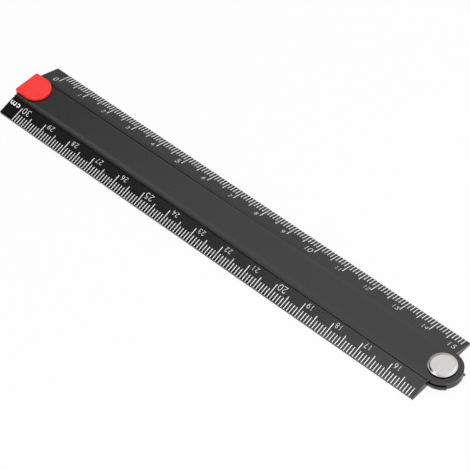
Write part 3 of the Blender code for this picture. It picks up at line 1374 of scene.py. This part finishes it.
UPPER_NUMBERS = Numbers(
    Side.UPPER,
    range(16),
    small=Setting(1.3 * MM, 6.75 * MM, 1.38 * MM),
    tall=Setting(1.3 * MM, 6.5 * MM, 1.84 * MM, pen=0.15 * MM),
    others={
        **{label: Setting(1.4 * MM, 6.67 * MM) for label in range(11, 15)},
        10: Setting(1.99 * MM, 6.34 * MM, 1.88 * MM, 1.48 * MM, 0.15 * MM),
        15: Setting(2.32 * MM, 6.38 * MM, 1.68 * MM, 1.54 * MM, 0.15 * MM),
    },
)
LOWER_NUMBERS = Numbers(
    Side.LOWER,
    range(30, 15, -1),
    small=Setting(2.11 * MM, 6.72 * MM, pitch=1.25 * MM),
    tall=Setting(2.1 * MM, 6.71 * MM, 1.9 * MM, 1.55 * MM, 0.15 * MM),
    others={label: Setting(1.82 * MM, 6.72 * MM, pitch=1.25 * MM) for label in range(16, 20)},
    units={"cm": Setting(-2.65 * MM, 6.82 * MM, 1.27 * MM, 2.02 * MM, 0.34 * MM)},
)


@dataclass
class Leaf:
    """One bevelled aluminium leaf with its lug.

    Attributes:
        side: The side that its flange is on.
        bore: Radius of the rivet hole.
        spare: How much longer than the leaf its blank is at each end.
        butt: Clearance between the flange's end and the rivet's axis.
        end_corner: Radius of its corners, seen from above.
        softened: Reach of the rounding on every other edge.
    """

    side: Side
    bore: float
    spare: float = 5.0 * MM
    butt: float = 0.12 * MM
    end_corner: float = 0.2 * MM
    softened: float = 0.05 * MM

    @property
    def node(self) -> str:
        """The solid that it stands for."""
        return f"{self.side.label}_leaf"

    def section(self) -> list[Point2]:
        """The leaf's section in Y and Z; each leaf has its own."""
        raise NotImplementedError

    def lug(self) -> Stroke:
        """The lug's rim, from the flange's side round to the other."""
        radius = STACK.lug_radius
        return arc((0, 0), (radius, radius), 90, -90, 60)

    def outline(self) -> list[Point2]:
        """The leaf seen from above.

        Returns:
            The outline.
        """
        s, way = STACK, self.side.value
        lug = self.lug()
        return filleted(
            [
                (s.free_end, way * s.half_width, self.end_corner),
                (-self.butt, way * s.half_width, 0),
                (-self.butt, way * lug[0][1], 0),
                *((along, way * across, 0) for along, across in lug),
                (s.lug_radius - s.plate_half, -way * s.plate_half, 0),
                (s.free_end, -way * s.plate_half, self.end_corner),
            ],
            step=math.radians(5.0),
        )

    def blank(self) -> Workpiece:
        """The leaf's section, swept lengthwise and cut to its outline.

        Returns:
            The blank, bored for the rivet.
        """
        name = f"{self.node}_metal"
        start = STACK.free_end - self.spare
        points = [(start, u, v) for u, v in self.section()]
        sweep = (STACK.lug_radius + self.spare - start, 0, 0)
        work = Workpiece(name, swept(name, points, sweep))
        outline = upright("outline", self.outline(), -STACK.thickness, 2 * STACK.thickness)
        work.work(Cut.KEEP_COMMON, outline)
        bore = turned("bore", disc(self.bore, -STACK.thickness, 2 * STACK.thickness), steps=72)
        work.work(Cut.TAKE_AWAY, bore)
        return work

    def cut_more(self, work: Workpiece) -> None:
        """Cuts what only one of the leaves has; a plain leaf has nothing more."""

    def build(self, finish: Finish, fill: bpy.types.Material) -> None:
        """Builds and dresses the leaf, then fills its lines.

        Args:
            finish: The leaf's finish.
            fill: The material in its lines.
        """
        graduations = Graduations(self.side)
        slot = f"{self.node}_anodised"
        work = self.blank()
        self.cut_more(work)
        work.soften(self.softened)
        work.work(Cut.TAKE_AWAY, graduations.grooves())
        hand_over(work.bake(), finish.material(slot), self.side.arm, self.node)
        graduations.build(fill)


@dataclass
class UpperLeaf(Leaf):
    """The upper leaf, whose plate is the flat band of the folded ruler."""

    side: Side = Side.UPPER
    bore: float = 1.68 * MM

    def section(self) -> list[Point2]:
        """The section of a flange at +Y that carries the crowned plate.

        Returns:
            The section's points.
        """
        s = STACK
        return filleted(
            [
                (s.half_width, 0, 0),
                (s.half_width, s.edge_height, 0),
                (s.knee, s.knee_height, s.knee_round),
                (s.band_half, s.thickness, s.flange_crown),
                (-s.band_half_plate, s.thickness, s.plate_crown),
                (-s.plate_half, s.plate_edge_height, s.plate_rim),
                (-s.plate_half, s.upper_bottom, 0),
                (s.flange_inner, s.upper_bottom, 0),
                (s.flange_inner, 0, 0),
            ]
        )


@dataclass
class LowerLeaf(Leaf):
    """The lower leaf, which also holds the rivet's tail, the washer and the catch.

    Attributes:
        tail_recess: Radius of the recess round the rivet's tail.
        tail_depth: Depth of that recess.
        pocket: Radius of the washer's pocket.
        pocket_depth: Depth of the pocket.
        rebate_half: Half the width of the rebate for the catch's foot.
        rebate_length: Length of that rebate from the free end.
        rebate_depth: Its depth.
        peg_place: The peg's distance from the free end.
        peg_hole: Radius of the peg's hole.
        peg_seat: Radius of the sunk seat of the peg's head.
        peg_seat_depth: Depth of that seat.
        burr_angle: Where the small burr stands on the lug's rim, in degrees from +X to +Y.
        burr_reach: How far it stands out.
        burr_root: Its width at the rim.
        burr_tip: Its width at its tip.
        burr_low: Height of its underside.
        burr_high: Height of its top.
        lug_step: How far the lug's rim stands out next to the flange.
        lug_step_end: Where that step ends, in degrees from +X towards the flange.
    """

    side: Side = Side.LOWER
    bore: float = 1.65 * MM
    tail_recess: float = 2.8 * MM
    tail_depth: float = 0.6 * MM
    pocket: float = 3.88 * MM
    pocket_depth: float = 0.2 * MM
    rebate_half: float = 4.55 * MM
    rebate_length: float = 4.5 * MM
    rebate_depth: float = 0.45 * MM
    peg_place: float = 1.95 * MM
    peg_hole: float = 0.95 * MM
    peg_seat: float = 1.45 * MM
    peg_seat_depth: float = 0.4 * MM
    burr_angle: float = 28.0
    burr_reach: float = 0.38 * MM
    burr_root: float = 0.6 * MM
    burr_tip: float = 0.3 * MM
    burr_low: float = 0.4 * MM
    burr_high: float = 1.1 * MM
    lug_step: float = 0.33 * MM
    lug_step_end: float = 40.0

    def section(self) -> list[Point2]:
        """The section of a flange at -Y that carries the low plate.

        Returns:
            The section's points.
        """
        s = STACK
        return filleted(
            [
                (-s.half_width, 0, 0),
                (-s.flange_inner, 0, 0),
                (-s.flange_inner, s.plate_lift, 0),
                (s.plate_half, s.plate_lift, 0),
                (s.plate_half, s.lower_top, 0),
                (-s.flange_inner, s.lower_top, 0),
                (-s.flange_inner, s.bevel_height(s.flange_inner), s.plate_rim),
                (-s.half_width, s.edge_height, 0),
            ]
        )

    def lug(self) -> Stroke:
        """The lug's rim, which stands out a little next to the flange.

        Returns:
            The rim.
        """
        radius, outer = STACK.lug_radius, STACK.lug_radius + self.lug_step
        stepped = arc((0, 0), (outer, outer), 90, self.lug_step_end, 20)
        return stepped + arc((0, 0), (radius, radius), self.lug_step_end, -90, 50)

    def burr(self) -> bpy.types.Mesh:
        """The blunt wedge that parting off has left on the lug's rim.

        Returns:
            The wedge.
        """
        root, tip = STACK.lug_radius - self.burr_reach, STACK.lug_radius + self.burr_reach
        turn = Matrix.Rotation(math.radians(self.burr_angle), 2)
        outline = [
            turn @ Vector((along, across))
            for along, across in (
                (root, -self.burr_root / 2),
                (tip, -self.burr_tip / 2),
                (tip, self.burr_tip / 2),
                (root, self.burr_root / 2),
            )
        ]
        return upright("burr", outline, self.burr_low, self.burr_high)

    def cut_more(self, work: Workpiece) -> None:
        """Adds the burr, then cuts the recess, the pocket, the rebate and the peg's stepped hole.

        Args:
            work: The blank.
        """
        s = STACK
        work.work(Cut.JOIN, self.burr())
        recess = disc(self.tail_recess, -s.plate_lift, s.plate_lift + self.tail_depth)
        work.work(Cut.TAKE_AWAY, turned("tail_recess", recess, steps=72))
        pocket = disc(self.pocket, s.lower_top - self.pocket_depth, s.thickness)
        work.work(Cut.TAKE_AWAY, turned("washer_pocket", pocket, steps=96))
        start, end, half = s.free_end - CUT_PAST, s.free_end + self.rebate_length, self.rebate_half
        corners = [(start, -half), (end, -half), (end, half), (start, half)]
        rebate = upright("foot_rebate", corners, -s.plate_lift, s.plate_lift + self.rebate_depth)
        work.work(Cut.TAKE_AWAY, rebate)
        seat = s.lower_top - self.peg_seat_depth
        hole = stepped_disc(self.peg_seat, self.peg_hole, -s.plate_lift, seat, s.thickness)
        place = s.free_end + self.peg_place
        work.work(Cut.TAKE_AWAY, turned("peg_hole", hole, steps=48), place)


@dataclass
class PivotRivet:
    """The turned rivet: a face that falls off softly to two rings, and a hollow rolled tail.

    Attributes:
        bottom: Height of the head's underside.
        top: Height of the head's face.
        face: Radius of the flat face, to the middle of its wide rounding.
        face_round: That rounding's radius.
        brow: Radius where the falling face turns into the steeper ring.
        brow_height: Height there.
        brow_round: Rounding there.
        root: Radius where the steeper ring ends in the gentler rim.
        root_height: Height there.
        root_round: Rounding there.
        head: The head's radius.
        rim_height: Height of the rim's outer end.
        rim: Rounding of the rim.
        under_rim: Rounding of the rim's underside.
        shank: The shank's radius.
        tail: The tail's radius.
        tail_top: Height where the tail bears on the leaf.
        tail_bottom: Height of the tail's lowest ring.
        dimple: Radius of the tail's hollow.
        dimple_top: Height of the hollow's end.
        tail_rounds: Roundings of the tail, from its upper edge round to the hollow's end.
    """

    bottom: float = 3.24 * MM
    top: float = 3.6 * MM
    face: float = 2.95 * MM
    face_round: float = 3.0 * MM
    brow: float = 3.26 * MM
    brow_height: float = 3.549 * MM
    brow_round: float = 0.25 * MM
    root: float = 3.62 * MM
    root_height: float = 3.391 * MM
    root_round: float = 0.15 * MM
    head: float = 3.95 * MM
    rim_height: float = 3.317 * MM
    rim: float = 0.035 * MM
    under_rim: float = 0.02 * MM
    shank: float = 1.6 * MM
    tail: float = 2.6 * MM
    tail_top: float = 0.85 * MM
    tail_bottom: float = 0.15 * MM
    dimple: float = 0.9 * MM
    dimple_top: float = 0.95 * MM
    tail_rounds: tuple[float, ...] = (0.1 * MM, 0.25 * MM, 0.3 * MM, 0.2 * MM, 0.15 * MM)

    def profile(self) -> list[Point2]:
        """The rivet's turned profile.

        Returns:
            Its points, from the face's middle down to the dimple.
        """
        middle = (self.tail_top + self.tail_bottom) / 2
        tail = [
            (self.tail, self.tail_top),
            (self.tail, middle),
            ((self.tail + self.shank) / 2, self.tail_bottom),
            (self.dimple, middle),
            (self.dimple, self.dimple_top),
        ]
        corners = [
            (0, self.top, 0),
            (self.face, self.top, self.face_round),
            (self.brow, self.brow_height, self.brow_round),
            (self.root, self.root_height, self.root_round),
            (self.head, self.rim_height, self.rim),
            (self.head, self.bottom, self.under_rim),
            (self.shank, self.bottom, 0),
            (self.shank, self.tail_top, 0),
            *((radius, height, fillet) for (radius, height), fillet in zip(tail, self.tail_rounds)),
            (0, self.dimple_top, 0),
        ]
        return filleted(corners)

    def build(self, finish: bpy.types.Material) -> None:
        """Builds and dresses the rivet.

        Args:
            finish: Its material.
        """
        name = "pivot_rivet_turned"
        piece = place_on_axis(name, turned(name, self.profile()))
        hand_over(smoothed(piece), finish, Arm.LOWER, "pivot_rivet")


@dataclass
class Washer:
    """A punched nylon washer of the swivel.

    Attributes:
        node: The solid that it stands for.
        arm: The arm that it turns with.
        radius: Its outer radius.
        low: Height of its underside.
        high: Height of its top.
        hole: Radius of its hole.
        edge: Rounding of its edges.
    """

    node: str
    arm: Arm
    radius: float
    low: float
    high: float
    hole: float = 1.68 * MM
    edge: float = 0.04 * MM

    def build(self, finish: bpy.types.Material) -> None:
        """Builds and dresses the washer.

        Args:
            finish: Its material.
        """
        name = f"{self.node}_ring"
        corners = [
            (self.hole, self.high, 0),
            (self.radius, self.high, self.edge),
            (self.radius, self.low, self.edge),
            (self.hole, self.low, 0),
        ]
        profile = filleted(corners, step=math.radians(18.0))
        piece = place_on_axis(name, turned(name, profile, steps=96))
        hand_over(smoothed(piece), finish, self.arm, self.node)


@dataclass
class EndCatch:
    """The moulded hook at the free end: lip, end wall, foot and staked peg.

    Attributes:
        half_width: Half its width.
        length: Its length, wall included.
        inner: Where the wall's inside is, along X.
        outer: Where the wall's outside is.
        foot_length: Length of the foot.
        foot_bottom: Height of the foot's underside.
        foot_top: Height of the foot's top.
        lip_bottom: Height of the lip's underside.
        lip_top: Height of the lip's top.
        lip_rim: Rounding of the lip's upper rim.
        rim_segments: Facets across that rounding.
        corner: Radius of its corners, seen from above.
        softened: Rounding of every other edge.
        peg_place: The peg's distance from the wall's inside.
        peg: The peg's radius.
        peg_head: Radius of its staked head.
        peg_head_height: Height of that head.
        peg_top: Height of its top.
    """

    half_width: float = 4.4 * MM
    length: float = 8.8 * MM
    inner: float = -155.95 * MM
    outer: float = -156.55 * MM
    foot_length: float = 4.6 * MM
    foot_bottom: float = 0.1 * MM
    foot_top: float = 0.7 * MM
    lip_bottom: float = 2.92 * MM
    lip_top: float = 4.01 * MM
    lip_rim: float = 0.3 * MM
    rim_segments: int = 7
    corner: float = 0.5 * MM
    softened: float = 0.07 * MM
    peg_place: float = 2.2 * MM
    peg: float = 0.9 * MM
    peg_head: float = 1.4 * MM
    peg_head_height: float = 0.3 * MM
    peg_top: float = 1.45 * MM

    def block(self) -> bpy.types.Mesh:
        """The catch's full outline as a block, with its upper rim rounded.

        Returns:
            The block.
        """
        reach = self.outer + self.length
        half = self.half_width
        outline = filleted(
            [
                (self.outer, -half, self.corner),
                (reach, -half, half),
                (reach, half, half),
                (self.outer, half, self.corner),
            ],
            step=math.radians(4.0),
        )
        shape = bmesh.new()
        points = [(u, v, self.foot_bottom) for u, v in outline]
        add_swept(shape, points, (0, 0, self.lip_top - self.foot_bottom))
        bmesh.ops.remove_doubles(shape, verts=shape.verts, dist=WELD)
        middle = (self.foot_bottom + self.lip_top) / 2
        rim = [edge for edge in shape.edges if all(vert.co.z > middle for vert in edge.verts)]
        bmesh.ops.bevel(
            shape,
            geom=rim,
            offset=self.lip_rim,
            offset_type="OFFSET",
            segments=self.rim_segments,
            profile=0.5,
            affect="EDGES",
        )
        return mesh_from("end_catch_moulded", shape)

    def throat(self) -> bpy.types.Mesh:
        """What the block loses: the throat over the leaves, and all beyond the foot.

        Returns:
            The helper solid.
        """
        beyond = self.outer + 2 * self.length
        foot_end = self.inner + self.foot_length
        below = self.foot_bottom - CUT_PAST
        section = [
            (foot_end, below),
            (foot_end, self.foot_top),
            (self.inner, self.foot_top),
            (self.inner, self.lip_bottom),
            (beyond, self.lip_bottom),
            (beyond, below),
        ]
        points = [(u, -2 * self.half_width, v) for u, v in section]
        return swept("throat", points, (0, 4 * self.half_width, 0))

    def build(self, finish: bpy.types.Material) -> None:
        """Builds and dresses the catch.

        Args:
            finish: Its material.
        """
        work = Workpiece("end_catch_moulded", self.block())
        work.work(Cut.TAKE_AWAY, self.throat())
        work.soften(self.softened)
        root = (self.foot_bottom + self.foot_top) / 2
        seat = self.peg_top - self.peg_head_height
        peg = stepped_disc(self.peg_head, self.peg, root, seat, self.peg_top)
        work.work(Cut.JOIN, turned("peg", peg, steps=48), self.inner + self.peg_place)
        hand_over(work.bake(), finish, Arm.LOWER, "end_catch")


@dataclass(frozen=True)
class Softbox:
    """A soft rectangular lamp that hangs level and shines down.

    Attributes:
        name: Its name.
        along: Its two ends along X, as shares of its height over the table.
        across: Its two ends along Y, as shares of the same height.
        brightness: Its brightness, where 1 shows as white.
        height: Its height over the table.
    """

    name: str
    along: tuple[float, float]
    across: tuple[float, float]
    brightness: float
    height: float = 1.2

    def build(self) -> None:
        """Hangs the lamp over the table."""
        lamp = bpy.data.lights.new(self.name, "AREA")
        lamp.shape = "RECTANGLE"
        lamp.size = (self.along[1] - self.along[0]) * self.height
        lamp.size_y = (self.across[1] - self.across[0]) * self.height
        lamp.energy = self.brightness * math.pi * lamp.size * lamp.size_y
        hung = bpy.data.objects.new(self.name, lamp)
        bpy.context.scene.collection.objects.link(hung)
        middle = Vector((sum(self.along) / 2, sum(self.across) / 2, 1.0))
        hung.location = middle * self.height
        hung.visible_camera = False


@dataclass(frozen=True)
class Viewpoint:
    """The camera of the photograph.

    Attributes:
        place: Where it stands.
        forward: Where it looks.
        right: Its right-hand direction.
        lens: Focal length in millimetres.
        sensor: Width of the sensor in millimetres.
        clip: Nearest and farthest distance that it shows.
    """

    place: Sequence[float] = (0.252231, -0.248150, 0.410128)
    forward: Sequence[float] = (-0.4611843, 0.4580495, -0.7599340)
    right: Sequence[float] = (0.7329610, 0.6793522, -0.0353362)
    lens: float = 150.27
    sensor: float = 36.0
    clip: tuple[float, float] = (0.01, 50.0)

    def build(self) -> None:
        """Sets the scene's camera."""
        camera = bpy.data.cameras.new("camera")
        camera.sensor_width = self.sensor
        camera.lens = self.lens
        camera.clip_start, camera.clip_end = self.clip
        stand = bpy.data.objects.new("camera", camera)
        bpy.context.scene.collection.objects.link(stand)
        right = Vector(self.right).normalized()
        back = -Vector(self.forward).normalized()
        up = back.cross(right)
        turn = Matrix((right, up, back)).transposed().to_4x4()
        stand.matrix_world = Matrix.Translation(self.place) @ turn
        bpy.context.scene.camera = stand


@dataclass
class Studio:
    """Floor, sky, lamps and camera.

    Attributes:
        floor_size: Side of the floor.
        floor_drop: How far the floor lies under the ruler.
        ambient: Brightness of the room above the backdrop.
        backdrop: Brightness of the backdrop towards +X and towards -X.
        backdrop_turn: Where its brightness changes, as the direction's share along X.
        backdrop_top: Sine of the height where the backdrop ends.
        backdrop_fade: The same where the room begins.
        dark_towards: Direction of the room's dark side.
        dark_spread: Angles from it, in degrees, where it is darkest and where it ends.
        dark_level: Brightness there.
        viewpoint: The camera.
        lamps: The soft lamps.
    """

    floor_size: float = 12.0
    floor_drop: float = 0.02 * MM
    ambient: float = 0.45
    backdrop: tuple[float, float] = (0.77, 0.45)
    backdrop_turn: tuple[float, float] = (-0.35, -0.57)
    backdrop_top: float = 0.53
    backdrop_fade: float = 0.60
    dark_towards: Sequence[float] = (-0.9, 0.3, 1.0)
    dark_spread: tuple[float, float] = (34.0, 60.0)
    dark_level: float = 0.03
    viewpoint: Viewpoint = Viewpoint()
    lamps: tuple[Softbox, ...] = (
        Softbox("overhead_strip", (-0.42, -0.21), (-0.5, 0.18), 1.8),
        Softbox("rear_panel", (-0.84, 0.6), (0.18, 0.72), 0.97),
        Softbox("high_panel", (-0.75, 0.6), (0.72, 1.4), 0.9),
        Softbox("overhead_fill", (-0.21, 0.5), (-0.5, 0.18), 0.58),
        Softbox("overhead_edge", (-0.27, 0.3), (0.18, 0.43), 0.5),
        Softbox("front_panel", (0.55, 2.4), (-2.4, 0.1), 2.7, 1.0),
    )

    def lay_floor(self) -> None:
        """Lays the pale floor."""
        half = self.floor_size / 2
        shape = bmesh.new()
        corners = [(-half, -half), (half, -half), (half, half), (-half, half)]
        shape.faces.new([shape.verts.new((u, v, 0)) for u, v in corners])
        mesh = bpy.data.meshes.new("floor")
        shape.to_mesh(mesh)
        shape.free()
        floor = bpy.data.objects.new("floor", mesh)
        floor.location.z = -self.floor_drop
        bpy.context.scene.collection.objects.link(floor)
        mesh.materials.append(PaleFloor().material("pale_floor"))

    def light_room(self) -> None:
        """Makes the room: pale walls low down, a dimmer ceiling and one dark side."""
        world = bpy.data.worlds.new("room")
        world.use_nodes = True
        bpy.context.scene.world = world
        nodes = NodeBench(world.node_tree)
        direction = nodes.add("ShaderNodeTexCoord").outputs["Generated"]
        along, _, height = nodes.axes(direction)
        turned_away = nodes.along(direction, self.dark_towards)
        edge, core = (math.cos(math.radians(angle)) for angle in reversed(self.dark_spread))
        dark = turned_away.ramp(edge, core)
        ceiling = self.ambient + (self.dark_level - self.ambient) * dark
        right, left = self.backdrop
        wall = right + (left - right) * along.ramp(*self.backdrop_turn)
        room = ceiling + (wall - ceiling) * height.ramp(self.backdrop_fade, self.backdrop_top)
        camera = nodes.value(nodes.add("ShaderNodeLightPath"), "Is Camera Ray")
        brightness = camera + (1 - camera) * room
        background = nodes.add(
            "ShaderNodeBackground", None, {"Color": (1.0, 1.0, 1.0), "Strength": brightness}
        )
        nodes.add("ShaderNodeOutputWorld", None, {"Surface": background.outputs["Background"]})

    def build(self) -> None:
        """Sets the whole studio up."""
        self.lay_floor()
        self.light_room()
        for lamp in self.lamps:
            lamp.build()
        self.viewpoint.build()
        bpy.context.scene.view_settings.view_transform = "Standard"
        LOG.info("studio: %d lamps", len(self.lamps))


def main() -> None:
    """Builds the leaves, their scales, the swivel, the catch and the studio."""
    logging.basicConfig(level=logging.INFO, format="%(name)s: %(message)s")
    fill = WhiteFill().material("white_fill")
    anodised = AnodisedBlack()
    for leaf in (UpperLeaf(), LowerLeaf()):
        leaf.build(anodised, fill)
    for numbers in (UPPER_NUMBERS, LOWER_NUMBERS):
        numbers.build(fill)

    nylon = BlackNylon().material("washer_nylon")
    PivotRivet().build(TurnedSteel().material("rivet_steel"))
    Washer("head_washer", Arm.UPPER, 3.75 * MM, 2.91 * MM, 3.21 * MM).build(nylon)
    Washer("leaf_washer", Arm.LOWER, 3.8 * MM, 1.35 * MM, 1.6 * MM).build(nylon)
    EndCatch().build(MouldedRed().material("catch_plastic"))

    Studio().build()


if __name__ == "__main__":
    main()
